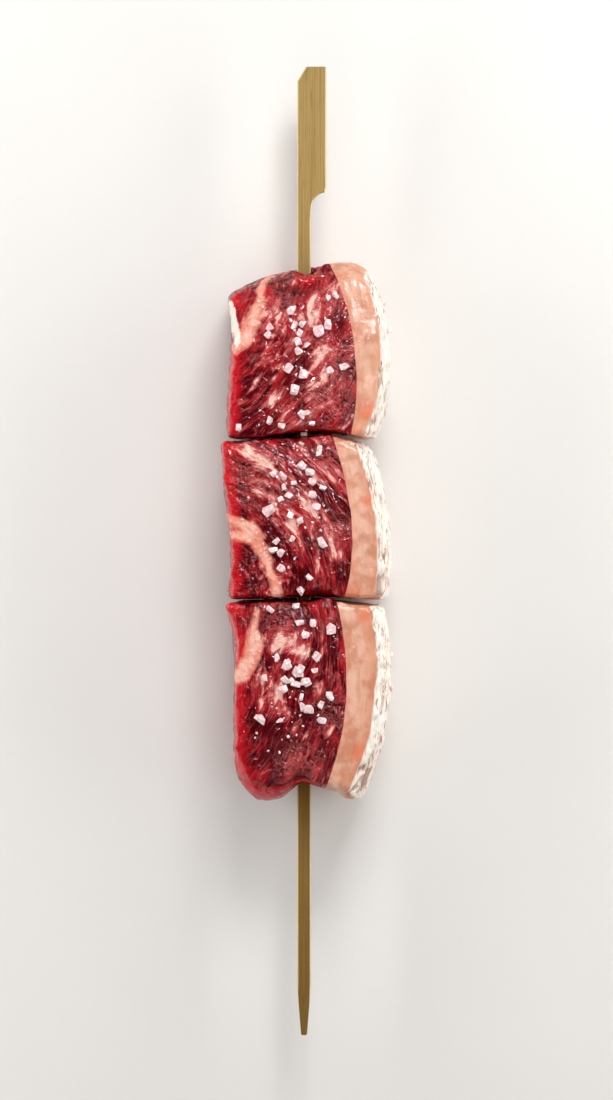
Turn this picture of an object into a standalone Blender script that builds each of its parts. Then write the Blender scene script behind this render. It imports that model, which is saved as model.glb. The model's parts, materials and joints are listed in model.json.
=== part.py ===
"""Raw beef kebab skewer: three blocks of beef with their fat caps, threaded on a flat bamboo skewer.

The skewer lies on the ground, Z = 0, on the cut backs of the blocks. +Y runs from its sharpened point
to its paddle handle, +X to the side of the fat caps, and +Z up, out of the blocks' best faces.
Every length is in metres.
"""

import math

import bmesh
import bpy
from mathutils import Vector

MM = 0.001
GAP = 0.3 * MM  # clearance between two pieces that touch

# The bamboo skewer. Its stem and its handle share the left edge.
SKEWER_LENGTH = 300 * MM
SKEWER_THICK = 3.0 * MM
SKEWER_LEFT = -3.3 * MM
STEM_WIDTH = 4.2 * MM
HANDLE_WIDTH = 9.0 * MM
HANDLE_LENGTH = 37.2 * MM
HANDLE_NICK = (2.8 * MM, 4.6 * MM)  # the corner cut off the end of the handle, across and along
HANDLE_CORNER = 0.7 * MM  # radius of the handle's other end corner
SHOULDER_STEP = 1.5 * MM  # how far the shoulder drops straight before its curve starts
SHOULDER_LENGTH = 7.6 * MM
TIP_LENGTH = 15.5 * MM
TIP_WIDTH = 1.8 * MM
TIP_THICK = 1.3 * MM
SKEWER_EDGE = 0.5 * MM  # bevel along the skewer's edges
BEVEL_ANGLE = 75  # only edges as sharp as this, in degrees, are bevelled: those of its two flat sides
POINT_CUT = (17 * MM, 46 * MM, 23 * MM)  # the box that one knife cut takes off the point
TUNNEL_LENGTH = 210 * MM  # reaches past the row of blocks at both ends
WELD = 0.01 * MM  # points closer than this are made one
ARC_STEPS = 8

# The blocks of beef. Their backs lie on the ground, and the skewer runs through the middle of their depth.
SKEWER_HEIGHT = 19.0 * MM
SEAM_SLANT = 0.8 * MM  # how far the seam under the fat leans over from a block's middle to its face
FACE_DOME = 1.0 * MM  # how far a face stands proud in its middle
LUMP = 0.45 * MM  # unevenness of the cut faces
LUMP_WAVE = 17 * MM
CORNER_POWER = 6  # how close to a corner its pinch stays
STATION_GRIP = 2.3  # how tightly the cage's rows crowd to the edges, which sets how round the edges are
LEAN_CUTS = (4, 4, 4)  # rows across, along and up; the last two are the same, so that the seams fit
FAT_CUTS = (2, 4, 4)
CAGE_EDGE = 0.999  # cage places beyond this are on the cage's side, which is at 1

# Each outline is four distances in mm, read along the block: up its left side, its seam and its right
# side, and from left to right along its bottom and its top. Its corners, in the order bottom left,
# bottom right, top left and top right, are pinched in by so much. A face is set in from the outline by
# the belly of the side: left, then right (bottom and top of the side), bottom and top.
BLOCKS = (
    {
        "depth": 37.5,
        "left": (-25.8, -24.9, -23.7, -26.1),
        "seam": (12.7, 15.2, 13.4, 7.0),
        "right": (21.6, 26.6, 25.6, 19.9),
        "bottom": (34.7, 35.4, 36.8, 33.6),
        "top": (79.8, 86.3, 88.8, 89.4),
        "pinch": (0.3, 0.6, 0.8, 1.8),
        "belly_left": 1.6,
        "belly_right": (4.6, 1.8),
        "belly_bottom": 0.4,
        "belly_top": 5.4,
    },
    {
        "depth": 36.5,
        "left": (-25.0, -23.9, -25.9, -27.2),
        "seam": (10.5, 13.7, 11.9, 6.8),
        "right": (25.3, 26.9, 24.9, 20.8),
        "bottom": (-15.2, -14.2, -14.3, -15.6),
        "top": (33.9, 34.6, 35.9, 32.7),
        "pinch": (0.3, 0.3, 0.2, 0.6),
        "belly_left": 1.5,
        "belly_right": (4.4, 4.8),
        "belly_bottom": 0.5,
        "belly_top": 0.5,
    },
    {
        "depth": 38.0,
        "left": (-22.2, -23.7, -22.5, -25.9),
        "seam": (4.8, 11.1, 12.0, 8.2),
        "right": (18.2, 25.1, 27.2, 24.2),
        "bottom": (-71.5, -77.4, -74.6, -79.6),
        "top": (-16.2, -15.1, -15.2, -16.5),
        "pinch": (1.2, 1.8, 0.2, 0.3),
        "belly_left": 1.4,
        "belly_right": (5.2, 4.6),
        "belly_bottom": 3.6,
        "belly_top": 0.6,
    },
)

LEAN_COLOUR = (0.23, 0.022, 0.026)
FAT_COLOUR = (0.74, 0.42, 0.28)
BAMBOO_COLOUR = (0.44, 0.31, 0.11)


def clear_scene():
    for obj in list(bpy.data.objects):
        bpy.data.objects.remove(obj)


def make_collection(name):
    collection = bpy.data.collections.new(name)
    bpy.context.scene.collection.children.link(collection)
    return collection


def make_material(name, colour, roughness):
    material = bpy.data.materials.new(name)
    material.use_nodes = True
    shader = material.node_tree.nodes["Principled BSDF"]
    shader.inputs["Base Color"].default_value = (*colour, 1)
    shader.inputs["Roughness"].default_value = roughness
    shader.inputs["Metallic"].default_value = 0
    return material


def add_object(name, mesh, collection, material=None):
    obj = bpy.data.objects.new(name, mesh)
    collection.objects.link(obj)
    if material:
        mesh.materials.append(material)
    return obj


def hide_as_cutter(obj):
    obj.hide_render = True
    obj.display_type = "WIRE"
    return obj


def cut(obj, cutter):
    modifier = obj.modifiers.new("Cut by " + cutter.name, "BOOLEAN")
    modifier.operation = "DIFFERENCE"
    modifier.object = cutter


def add_box(name, size, location, collection):
    bpy.ops.mesh.primitive_cube_add(size=1, location=location)
    box = bpy.context.object
    box.name = name
    for vertex in box.data.vertices:
        vertex.co = [place * side for place, side in zip(vertex.co, size)]
    for owner in list(box.users_collection):
        owner.objects.unlink(box)
    collection.objects.link(box)
    return box


# --- the bamboo skewer -------------------------------------------------------------------------------


def arc(centre, radii, start, end, steps=ARC_STEPS):
    """Points on an elliptic arc, from the angle start to the angle end, in degrees."""
    angles = [math.radians(start + (end - start) * step / steps) for step in range(steps + 1)]
    return [(centre[0] + radii[0] * math.cos(a), centre[1] + radii[1] * math.sin(a)) for a in angles]


def skewer_outline():
    """The skewer seen from above, anticlockwise from the left of its point."""
    low = -SKEWER_LENGTH / 2
    high = SKEWER_LENGTH / 2
    left = SKEWER_LEFT
    stem = left + STEM_WIDTH
    handle = left + HANDLE_WIDTH
    tip = left + STEM_WIDTH / 2
    handle_start = high - HANDLE_LENGTH
    stem_end = handle_start - SHOULDER_LENGTH
    reach = handle - stem
    outline = [(tip - TIP_WIDTH / 2, low), (tip + TIP_WIDTH / 2, low), (stem, low + TIP_LENGTH)]
    outline += arc((handle, stem_end), (reach, SHOULDER_LENGTH - SHOULDER_STEP), 180, 96)
    outline.append((handle, handle_start))
    corner = (handle - HANDLE_CORNER, high - HANDLE_CORNER)
    outline += arc(corner, (HANDLE_CORNER, HANDLE_CORNER), 0, 90, steps=3)
    outline += [(left + HANDLE_NICK[0], high), (left, high - HANDLE_NICK[1]), (left, low + TIP_LENGTH)]
    return outline


def make_plate(name, outline, thickness, height, collection):
    """A flat plate with this outline, its middle at this height, as a mesh."""
    curve = bpy.data.curves.new(name, "CURVE")
    curve.dimensions = "2D"
    curve.fill_mode = "BOTH"
    curve.extrude = thickness / 2
    spline = curve.splines.new("POLY")
    spline.points.add(len(outline) - 1)
    for point, place in zip(spline.points, outline):
        point.co = (*place, 0, 1)
    spline.use_cyclic_u = True
    guide = add_object(name + " outline", curve, collection)
    guide.location.z = height
    bpy.context.view_layer.update()
    graph = bpy.context.evaluated_depsgraph_get()
    mesh = bpy.data.meshes.new_from_object(guide.evaluated_get(graph))
    shape = bmesh.new()
    shape.from_mesh(mesh)
    bmesh.ops.remove_doubles(shape, verts=shape.verts, dist=WELD)
    bmesh.ops.recalc_face_normals(shape, faces=shape.faces)
    shape.to_mesh(mesh)
    shape.free()
    plate = add_object(name, mesh, collection)
    plate.matrix_world = guide.matrix_world
    bpy.data.objects.remove(guide)
    return plate


def tip_wedge(name, side, collection):
    """The wood that the knife takes off one flat side (1 above, -1 below) to thin the point."""
    slope = math.atan2((SKEWER_THICK - TIP_THICK) / 2, TIP_LENGTH)
    wedge = add_box(name, POINT_CUT, (0, 0, 0), collection)
    wedge.rotation_euler.x = side * slope
    surface = Vector((0, 0, side * POINT_CUT[2] / 2))
    surface.rotate(wedge.rotation_euler)
    edge = Vector((SKEWER_LEFT, TIP_LENGTH - SKEWER_LENGTH / 2, SKEWER_HEIGHT + side * SKEWER_THICK / 2))
    wedge.location = edge + surface
    return hide_as_cutter(wedge)


def make_skewer(collection, cutters, material):
    skewer = make_plate("bamboo_skewer", skewer_outline(), SKEWER_THICK, SKEWER_HEIGHT, collection)
    skewer.data.materials.clear()
    skewer.data.materials.append(material)
    bevel = skewer.modifiers.new("Soft edges", "BEVEL")
    bevel.width = SKEWER_EDGE
    bevel.segments = 1
    bevel.limit_method = "ANGLE"
    bevel.angle_limit = math.radians(BEVEL_ANGLE)
    cut(skewer, tip_wedge("point cut above", 1, cutters))
    cut(skewer, tip_wedge("point cut below", -1, cutters))
    return skewer


def make_tunnel(cutters):
    """What the stem takes out of the beef."""
    size = (STEM_WIDTH + 2 * GAP, TUNNEL_LENGTH, SKEWER_THICK + 2 * GAP)
    place = (SKEWER_LEFT + STEM_WIDTH / 2, 0, SKEWER_HEIGHT)
    return hide_as_cutter(add_box("skewer tunnel", size, place, cutters))


# --- the blocks of beef ------------------------------------------------------------------------------


def mix(low, high, share):
    return low + (high - low) * share


def along(values, place):
    """A smooth curve through evenly spaced values, read at place, from -1 at the first to 1 at the last."""
    last = len(values) - 1
    at = (place + 1) / 2 * last
    total = 0
    for index, value in enumerate(values):
        weight = 1
        for other in range(last + 1):
            if other != index:
                weight *= (at - other) / (index - other)
        total += value * weight
    return total * MM


def station(place):
    """Moves an evenly spaced row of the cage towards the nearer edge."""
    return math.copysign(1 - (1 - abs(place)) ** STATION_GRIP, place)


def lumps(point, seed):
    """The slow unevenness of hand-cut meat, about -1 to 1."""
    x, y, z = (place / LUMP_WAVE * math.tau for place in point)
    return (math.sin(x + 2.1 * seed) + math.sin(y * 0.9 + 1.3 * seed + x * 0.4) + math.sin(z + y * 0.5)) / 3


def block_point(block, seed, side, u, v, w):
    """Where a cage point goes. u, v and w run from -1 to 1 across, along and up, in the lean or the fat."""
    face = w * w
    front = max(w, 0)
    seam = along(block["seam"], v) + SEAM_SLANT * w
    left = along(block["left"], v) + block["belly_left"] * MM * face
    right = along(block["right"], v) - mix(*block["belly_right"], (v + 1) / 2) * MM * face
    share = (u + 1) / 2
    if side == "lean":
        x = mix(left, seam - GAP / 2, share)
    else:
        x = mix(seam + GAP / 2, right, share)
    across = (x - left) / (right - left) * 2 - 1
    low = along(block["bottom"], across) + block["belly_bottom"] * MM * face
    high = along(block["top"], across) - block["belly_top"] * MM * face * front
    y = mix(low, high, (v + 1) / 2)
    pinch = block["pinch"][2 * (v > 0) + (across > 0)] * MM * (across * v) ** CORNER_POWER
    x -= math.copysign(pinch, across)
    y -= math.copysign(pinch, v)
    dome = FACE_DOME * (1 - across * across) * (1 - v * v)
    z = (block["depth"] * MM + dome) * (w + 1) / 2
    lump = LUMP * lumps((x, y, z), seed)
    z += lump * front
    if side == "lean" and u < 0:
        x -= lump * u * u * (w + 1) / 2
    return Vector((x, y, z))


def make_slab(name, block, seed, side, cuts, collection, material):
    """The lean or the fat of one block: a cage of a subdivided cube, and its smooth surface."""
    shape = bmesh.new()
    bmesh.ops.create_cube(shape, size=2)
    for axis, rows in enumerate(cuts):
        parallel = []
        for edge in shape.edges:
            start, end = (vertex.co[axis] for vertex in edge.verts)
            if abs(start - end) > 1:
                parallel.append(edge)
        bmesh.ops.subdivide_edges(shape, edges=parallel, cuts=rows, use_grid_fill=True)
    crease = shape.edges.layers.float.new("crease_edge")
    seam_side = 1 if side == "lean" else -1
    for edge in shape.edges:
        on_seam = all(vertex.co.x * seam_side > CAGE_EDGE for vertex in edge.verts)
        if on_seam and len({face.normal.to_tuple(1) for face in edge.link_faces}) > 1:
            edge[crease] = 1
    for vertex in shape.verts:
        vertex.co = block_point(block, seed, side, *(station(place) for place in vertex.co))
    mesh = bpy.data.meshes.new(name)
    shape.to_mesh(mesh)
    shape.free()
    slab = add_object(name, mesh, collection, material)
    smooth = slab.modifiers.new("Smooth meat", "SUBSURF")
    smooth.levels = 1
    smooth.render_levels = 1
    slab.data.shade_smooth()
    return slab


def make_blocks(collection, tunnel, lean, fat):
    for number, block in enumerate(BLOCKS, start=1):
        meat = make_slab(f"lean_{number}", block, number, "lean", LEAN_CUTS, collection, lean)
        cut(meat, tunnel)
        make_slab(f"fat_cap_{number}", block, number, "fat", FAT_CUTS, collection, fat)


def middle_across(pieces):
    """Halfway between the leftmost and the rightmost point of these objects."""
    bpy.context.view_layer.update()
    graph = bpy.context.evaluated_depsgraph_get()
    reach = []
    for piece in pieces:
        solid = piece.evaluated_get(graph)
        reach += [(solid.matrix_world @ vertex.co).x for vertex in solid.data.vertices]
    return (min(reach) + max(reach)) / 2


def main():
    clear_scene()
    pieces = make_collection("Beef kebab skewer")
    cutters = make_collection("Cutters")
    lean = make_material("Raw lean beef", LEAN_COLOUR, 0.35)
    fat = make_material("Raw beef fat", FAT_COLOUR, 0.45)
    bamboo = make_material("Bamboo", BAMBOO_COLOUR, 0.55)
    frame = bpy.data.objects.new("Kebab frame", None)
    pieces.objects.link(frame)
    make_skewer(pieces, cutters, bamboo)
    make_blocks(pieces, make_tunnel(cutters), lean, fat)
    solids = [piece for piece in pieces.objects if piece != frame]
    for piece in [*solids, *cutters.objects]:
        piece.parent = frame
    frame.location.x = -middle_across(solids)


main()
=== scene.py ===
"""Raw beef kebab skewer: the looks of the kebab, laid out as a Blender add-on.

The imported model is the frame. Each block of beef is carved from its two solids: they are fused, roughened
along the grain of the meat and parted again along the seam between the lean and the fat. Coarse salt
lies on the blocks, and the bamboo skewer keeps its own solid under a new finish.
Distances in the meat are in millimetres, and the scene itself is in metres.
"""

import itertools
import json
import math
import random
from dataclasses import dataclass

import bmesh
import bpy
import numpy as np
from bpy.props import FloatProperty, FloatVectorProperty, IntProperty, PointerProperty
from mathutils import Matrix, Vector
from mathutils.bvhtree import BVHTree

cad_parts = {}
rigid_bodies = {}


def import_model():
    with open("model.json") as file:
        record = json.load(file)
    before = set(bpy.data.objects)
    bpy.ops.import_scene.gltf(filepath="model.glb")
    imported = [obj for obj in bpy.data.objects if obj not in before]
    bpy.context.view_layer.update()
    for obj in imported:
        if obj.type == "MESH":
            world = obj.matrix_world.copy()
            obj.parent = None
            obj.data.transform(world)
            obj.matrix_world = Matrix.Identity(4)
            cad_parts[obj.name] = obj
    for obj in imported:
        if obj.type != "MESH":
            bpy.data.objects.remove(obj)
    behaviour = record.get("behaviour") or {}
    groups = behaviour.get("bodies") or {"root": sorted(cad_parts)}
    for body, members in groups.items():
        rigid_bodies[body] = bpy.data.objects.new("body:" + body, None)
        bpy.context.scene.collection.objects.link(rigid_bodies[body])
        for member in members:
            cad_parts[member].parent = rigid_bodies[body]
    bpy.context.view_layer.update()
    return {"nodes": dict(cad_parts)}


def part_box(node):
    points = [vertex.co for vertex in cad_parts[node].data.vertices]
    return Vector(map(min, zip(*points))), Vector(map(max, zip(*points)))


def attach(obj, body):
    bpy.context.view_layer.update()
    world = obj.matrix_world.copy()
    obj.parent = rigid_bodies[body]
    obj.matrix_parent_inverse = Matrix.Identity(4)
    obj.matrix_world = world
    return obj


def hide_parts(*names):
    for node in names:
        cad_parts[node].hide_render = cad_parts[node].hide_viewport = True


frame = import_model()

bl_info = {
    "name": "Raw Beef Kebab",
    "version": (1, 0, 0),
    "blender": (4, 5, 0),
    "location": "View3D > Sidebar > Kebab",
    "description": "Carves marbled beef blocks, salt and a bamboo skewer around a packed model",
    "category": "Object",
}

MM = 0.001
BODY = "root"


# --- what is particular to each block ----------------------------------------------------------------


@dataclass
class Cut:
    """One block of beef. Places are shares of its lean's box: across from the left, along from the point's
    side, and up. Other sizes are in millimetres."""

    fibre_centre: tuple  # the fibres run in arcs round this place
    seams: tuple  # inner seams of fat: strokes of (across, along, half width)
    rims: tuple  # silverskin down the left side, white partly as its own colour and partly as painted rim light: strokes as for the seams
    flecks: tuple  # the larger marbling: (across, along, length, width)
    crinkles: tuple  # where short folds cross the fibres: (across, along, radius)
    shades: tuple  # darker patches with little marbling, partly the meat's own darker tone and partly painted shade: (across, along, radius)
    bloom_and_lit_patches: tuple  # brighter red patches, partly the meat's own red and partly painted light: (across, along, radius)
    warm: tuple  # orange patches of the fat: (across, along, radius)
    dents: tuple  # (across, along, up, radius, how far out)
    pulls: tuple  # where an end moves along the skewer: (across, along, lowest height, radius, how far)
    salt: tuple  # clusters of crystals: (across, along, spread, how many, length)
    side_salt: tuple = ()  # crystals on the fat's outer side: (along, up, length)
    skin_turn: float = 0.30  # how far the fat's surface turns outwards before its membrane starts


CUTS = (
    Cut(
        fibre_centre=(-0.91, 1.19),
        seams=(
            ((0.35, 0.97, 0.8), (0.27, 0.88, 1.1), (0.25, 0.74, 1.4), (0.22, 0.64, 2.2), (0.14, 0.56, 2.3),
             (0.04, 0.49, 1.8)),
        ),
        rims=(
            ((0.02, 0.8, 0.9), (0.03, 0.72, 1.8), (0.05, 0.62, 1.9), (0.07, 0.54, 1.2), (0.07, 0.47, 0.2)),
        ),
        flecks=(
            (0.67, 0.77, 3.6, 1.5), (0.66, 0.7, 4.6, 2.3), (0.62, 0.63, 3.6, 1.8), (0.3, 0.69, 3, 1.8),
            (0.23, 0.39, 4.5, 1.6), (0.35, 0.2, 7.6, 2.2), (0.13, 0.19, 3, 1.2), (0.71, 0.45, 7, 2.2),
            (0.42, 0.66, 3.8, 2.4), (0.66, 0.29, 2.4, 1.3), (0.76, 0.34, 3.7, 1.2), (0.37, 0.32, 2.2, 1.2),
            (0.2, 0.28, 6, 0.9),
        ),
        crinkles=((0.8, 0.18, 9), (0.86, 0.42, 7), (0.45, 0.8, 5), (0.78, 0.78, 5)),
        shades=((0.22, 0.12, 7), (0.18, 0.38, 5), (0.48, 0.28, 5)),
        bloom_and_lit_patches=((0.38, 0.93, 5), (0.58, 0.92, 6), (0.74, 0.95, 5), (0.3, 0.8, 4)),
        warm=((1.05, 0.88, 2.6), (1.1, 0.14, 3.2), (0.97, 0.03, 2.5)),
        dents=(
            (0.58, 1, 0.52, 4, -1.8), (0.62, 0, 1, 5, -1.4), (0.02, 0.68, 1, 6, -2),
            (0.95, 1.02, 0.7, 6, 1.2), (1.14, 0.96, 0.8, 5, -1.6), (0.79, 0.99, 0.85, 3, -1.4),
            (0.36, 0.82, 1, 1.8, -1.3), (0.44, 0.81, 1, 1.8, -1.4), (0.52, 0.8, 1, 1.8, -1.5),
            (0.6, 0.81, 1, 1.8, -1.5), (0.68, 0.83, 1, 1.8, -1.2), (0.76, 0.86, 1, 1.8, -0.9),
            (0.32, 0.88, 1, 2.2, 1.3), (0.42, 0.87, 1, 2, 1.2), (0.51, 0.87, 1, 2.2, 1.5),
            (0.61, 0.88, 1, 2, 1.2), (0.7, 0.91, 1, 2.4, 1.5), (0.38, 0.94, 0.9, 2.2, -1),
            (0.47, 0.95, 0.9, 2.4, 1.2), (0.58, 0.94, 0.95, 2, -1.3), (0.67, 0.98, 0.85, 2.2, -1),
            (0.25, 0.93, 0.8, 2.2, -1), (0.16, 0.87, 0.85, 2.4, 1), (0.74, 0.99, 0.75, 2.4, 1),
            (0.54, 1.01, 0.8, 5, 1.5), (0.33, 0.97, 0.85, 3, -0.8),
        ),
        pulls=((0.62, 1, 0.5, 3.6, -3.4),),
        salt=(
            (0.5, 0.71, 0.3, 1, 3.6), (0.52, 0.62, 0.3, 1, 2.9), (0.55, 0.53, 2.3, 5, 3),
            (0.34, 0.55, 1.3, 2, 2.7), (0.76, 0.63, 0.9, 2, 3.9), (0.47, 0.38, 0.4, 1, 3),
            (0.53, 0.26, 0.3, 1, 4.5), (0.6, 0.34, 0.3, 1, 3.3), (0.82, 0.34, 2.4, 2, 3.2),
            (0.61, 0.14, 0.3, 1, 3), (0.65, 0.08, 0.3, 1, 2.4), (0.45, 0.06, 1.9, 3, 3),
            (0.1, 0.05, 0.3, 1, 2.9), (0.77, 0.77, 1.6, 2, 2.3),
        ),
        side_salt=((0.77, 0.55, 2.4), (0.61, 0.62, 2.8)),
        skin_turn=0.58,
    ),
    Cut(
        fibre_centre=(-0.22, 0.07),
        seams=(
            ((0.02, 0.47, 1.6), (0.14, 0.45, 1.7), (0.26, 0.39, 1.9), (0.33, 0.29, 1.5), (0.37, 0.2, 1.3),
             (0.41, 0.11, 1.4), (0.44, -0.02, 1.8)),
            ((0.05, 0.38, 1.2), (0.18, 0.38, 1.7), (0.29, 0.36, 1.7)),
        ),
        rims=(((0, 0.62, 0.2), (0.02, 0.52, 0.9), (0.04, 0.44, 1.1), (0.05, 0.34, 0.3)),),
        flecks=(
            (0.55, 0.45, 5.4, 1.5), (0.61, 0.35, 6, 1.5), (0.67, 0.57, 4.2, 1.7), (0.81, 0.48, 3, 1.3),
            (0.74, 0.23, 7.2, 1.3), (0.83, 0.35, 4, 0.9), (0.88, 0.28, 2.7, 1.3), (0.24, 0.88, 6, 1.6),
            (0.3, 0.64, 5, 1.3), (0.38, 0.8, 7, 1.3), (0.83, 0.74, 4, 0.9),
        ),
        crinkles=((0.8, 0.85, 6), (0.25, 0.75, 7), (0.85, 0.4, 5)),
        shades=((0.16, 0.15, 8), (0.62, 0.22, 6), (0.12, 0.7, 4), (0.9, 0.12, 5)),
        bloom_and_lit_patches=((0.1, 0.9, 4), (0.4, 0.98, 4)),
        warm=((1.12, 0.6, 2.6), (1, 0.04, 2.6)),
        dents=(
            (0.6, 1, 1, 5, -1.2), (0.7, 0, 1, 6, -2), (0.02, 0.99, 0.95, 3, 1.6),
            (0.1, 0.95, 0.95, 2.5, -0.7), (0.02, 0.72, 0.9, 4, 0.5), (0, 0.3, 0.9, 4, -0.7),
            (1.22, 0.99, 0.9, 4, -1.2), (1.2, 0.02, 0.9, 4, -1),
        ),
        pulls=(),
        salt=(
            (0.75, 0.89, 0.3, 1, 4.2), (0.61, 0.8, 0.5, 1, 3.2), (0.46, 0.76, 1.5, 2, 2.9),
            (0.56, 0.72, 1.2, 2, 2.5), (0.7, 0.67, 2.2, 5, 3.1), (0.5, 0.61, 1.6, 2, 2.9),
            (0.62, 0.51, 1.2, 2, 2.6), (0.37, 0.54, 0.3, 1, 4.6), (0.42, 0.36, 0.4, 1, 2.6),
            (0.54, 0.36, 0.4, 1, 2.7), (0.76, 0.35, 0.3, 1, 3.7), (0.45, 0.26, 1.5, 2, 2.9),
            (0.46, 0.18, 0.4, 1, 2.6), (0.67, 0.14, 0.4, 1, 2.7), (0.58, 0.04, 1, 1, 2.6),
            (0.62, 0.97, 2, 2, 2.5),
        ),
    ),
    Cut(
        fibre_centre=(-1.6, 0.9),
        seams=(
            ((0.25, 0.95, 0.4), (0.22, 0.86, 1.2), (0.24, 0.78, 2.3), (0.21, 0.71, 2.4), (0.13, 0.64, 1.9),
             (0.03, 0.59, 1.3)),
        ),
        rims=(
            ((0.03, 0.88, 0.2), (0.05, 0.8, 1.2), (0.05, 0.7, 1.3), (0.02, 0.6, 0.9), (0, 0.5, 0.5)),
            ((0, 0.3, 0.4), (0.01, 0.22, 0.7), (0.02, 0.14, 0.2)),
        ),
        flecks=(
            (0.46, 0.81, 3.2, 2.2), (0.55, 0.78, 4, 2.8), (0.64, 0.74, 3.4, 2.2), (0.38, 0.75, 2.6, 1.4),
            (0.32, 0.6, 3.4, 2.4), (0.42, 0.56, 4.4, 2.2), (0.45, 0.49, 5, 2.2), (0.5, 0.42, 4.5, 1.7),
            (0.56, 0.36, 3.4, 1.2), (0.75, 0.53, 5.8, 1.6), (0.76, 0.34, 4.5, 1), (0.87, 0.35, 3, 1),
            (0.51, 0.18, 3.4, 1.3), (0.8, 0.74, 3.4, 1), (0.29, 0.49, 4, 1), (0.62, 0.14, 3, 1.1),
            (0.66, 0.32, 3, 0.9),
        ),
        crinkles=((0.45, 0.88, 6), (0.6, 0.18, 7), (0.88, 0.45, 5)),
        shades=(
            (0.22, 0.35, 10), (0.2, 0.15, 9), (0.86, 0.22, 8), (0.88, 0.72, 6), (0.66, 0.5, 5),
            (0.5, 0.28, 7), (0.86, 0.45, 5), (0.28, 0.9, 5), (0.5, 0.93, 4),
        ),
        bloom_and_lit_patches=((0.76, 0.97, 4.5), (0.55, 0.1, 4), (0.1, 0.95, 4)),
        warm=((1.14, 0.92, 2.6), (1.1, 0.24, 3)),
        dents=(
            (0.61, 0.07, 1, 3, -4.6), (0.64, 0.04, 0.72, 3.6, -2.4), (0.42, 0.05, 0.96, 3, -1.6),
            (0.25, 0.04, 0.9, 3, -1.6), (0.33, 0.02, 0.55, 6, 1.6), (0.8, 0.97, 0.97, 4, 1.2),
            (0.5, 0.11, 1, 2.2, 0.9), (0.72, 0.12, 1, 2.4, 0.9), (0.58, 0.2, 1, 3, 0.8),
            (0.03, 0.99, 0.95, 2.8, 2), (0.12, 0.97, 0.95, 2.4, -0.8), (0.14, 0.1, 0.6, 5, 0.9),
            (0.6, 1, 1, 5, -1), (0.13, 0.05, 0.85, 2.6, -2.2), (1.02, -0.01, 0.8, 3, 1.2),
            (0.04, 0.16, 0.8, 4, 1.1), (0.24, -0.02, 0.45, 5, 1.4), (0.46, 0.12, 1, 2.4, 1.2),
            (1.22, 0.06, 0.8, 5, -1.6), (0.9, 0.01, 0.95, 3, -0.9), (0.02, 0.78, 0.9, 5, -0.9),
        ),
        pulls=((0.63, 0, -0.2, 4.6, 3.4),),
        salt=(
            (0.38, 0.96, 0.3, 1, 3), (0.57, 0.96, 0.3, 1, 2.8), (0.61, 0.88, 0.4, 1, 3),
            (0.72, 0.89, 0.4, 1, 3), (0.86, 0.86, 0.6, 1, 4.6), (0.65, 0.83, 0.3, 1, 3),
            (0.75, 0.72, 0.3, 1, 3.2), (0.43, 0.69, 2, 2, 3.1), (0.57, 0.66, 1.6, 3, 2.9),
            (0.73, 0.64, 1.9, 3, 2.9), (0.6, 0.59, 2.1, 5, 3), (0.33, 0.61, 0.4, 1, 2.5),
            (0.86, 0.52, 0.3, 1, 3.8), (0.61, 0.52, 0.4, 1, 2.4), (0.64, 0.47, 0.4, 1, 3),
            (0.74, 0.44, 1.8, 3, 3.2), (0.3, 0.41, 0.3, 1, 3.9), (0.45, 0.38, 0.8, 1, 2.3),
        ),
        side_salt=((0.72, 0.6, 3), (0.55, 0.62, 2.5)),
    ),
)


# --- noise and distances -----------------------------------------------------------------------------

NOISE_CELLS = 256
NOISE_GAIN = 1.6  # brings smooth noise to about -1 to 1


def noise(places, size, seed):
    """Smooth noise at each place, about -1 to 1. Size is that of its lumps: one length, or one per axis."""
    draw = np.random.default_rng(seed)
    order = draw.permutation(NOISE_CELLS)
    slopes = draw.normal(size=(NOISE_CELLS, 3))
    slopes /= np.linalg.norm(slopes, axis=1)[:, None]
    spots = places / np.asarray(size)
    cells = np.floor(spots).astype(int)
    inside = spots - cells
    ease = inside * inside * (3 - 2 * inside)
    total = np.zeros(len(places))
    for corner in itertools.product((0, 1), repeat=3):
        key = np.zeros(len(places), int)
        for axis in range(3):
            key = order[(key + cells[:, axis] + corner[axis]) % NOISE_CELLS]
        weight = np.where(corner, ease, 1 - ease).prod(axis=1)
        total += weight * ((inside - corner) * slopes[key]).sum(axis=1)
    return total * NOISE_GAIN


def sway(places, size, reach, seed):
    """The places, each moved a little by slow noise."""
    moves = [noise(places, size, seed + axis) for axis in range(3)]
    return places + reach * np.column_stack(moves)


def smooth_step(values, low, high):
    share = np.clip((values - low) / (high - low), 0, 1)
    return share * share * (3 - 2 * share)


def ridged(values):
    """Turns noise into rounded ridges with narrow grooves between them, about -0.2 to 0.5."""
    return np.sqrt(np.sqrt(values * values + 0.01)) - 0.5


def bump_at(places, centre, radius):
    """1 at the centre, falling smoothly to nothing about two radii away."""
    return np.exp(-(((places - centre) / radius) ** 2).sum(axis=1))


def depth_in_strokes(flat, strokes):
    """How far each place in the plane is inside the nearest stroke; below 0 outside."""
    best = np.full(len(flat), -100.0)
    for stroke in strokes:
        for start, end in zip(stroke, stroke[1:]):
            run = end[:2] - start[:2]
            share = np.clip((flat - start[:2]) @ run / (run @ run), 0, 1)
            away = np.linalg.norm(flat - start[:2] - share[:, None] * run, axis=1)
            best = np.maximum(best, start[2] + (end[2] - start[2]) * share - away)
    return best


# --- the fields inside a block -----------------------------------------------------------------------

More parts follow.
